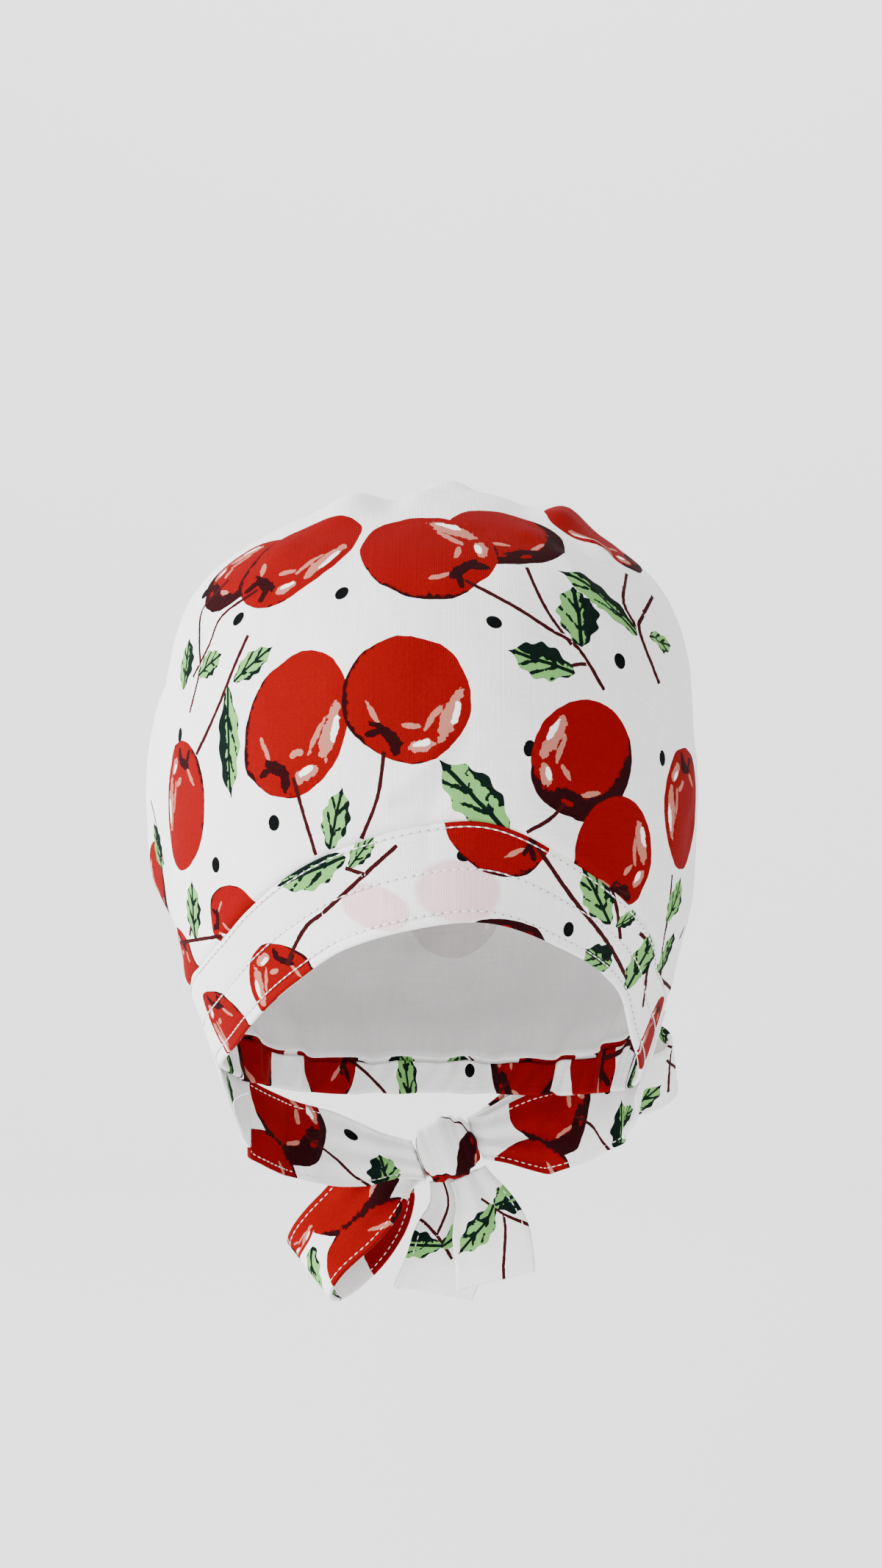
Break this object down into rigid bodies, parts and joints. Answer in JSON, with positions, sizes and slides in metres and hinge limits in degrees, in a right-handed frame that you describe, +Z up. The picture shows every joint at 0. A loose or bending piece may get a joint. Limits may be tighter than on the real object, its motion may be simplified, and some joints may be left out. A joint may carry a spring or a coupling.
{
  "type": "scrub cap",
  "caption": "Bouffant cloth scrub cap with an arched brim band, a gathered nape casing and wide ties knotted behind in a drooping bow, in a cherry and dot print.",
  "frame": {"origin": "middle of the head opening, where the head carries the cap", "axes": "+Z up, the forehead and the brim band face -Y, and +X is at the right of the picture"},
  "size_m": [0.2076, 0.2283, 0.3126],
  "materials": {
    "printed_cotton": "plain-woven cotton, white ground with a red, green and near-black print"
  },
  "bodies": {
    "root": {"crown": "printed_cotton", "brim_band": "printed_cotton", "nape_casing": "printed_cotton", "tie_right": "printed_cotton", "tie_left": "printed_cotton", "bow_knot": "printed_cotton", "bow_loop_right": "printed_cotton", "bow_loop_left": "printed_cotton", "bow_tail_left": "printed_cotton", "bow_tail_right": "printed_cotton"}
  },
  "joints": []
}
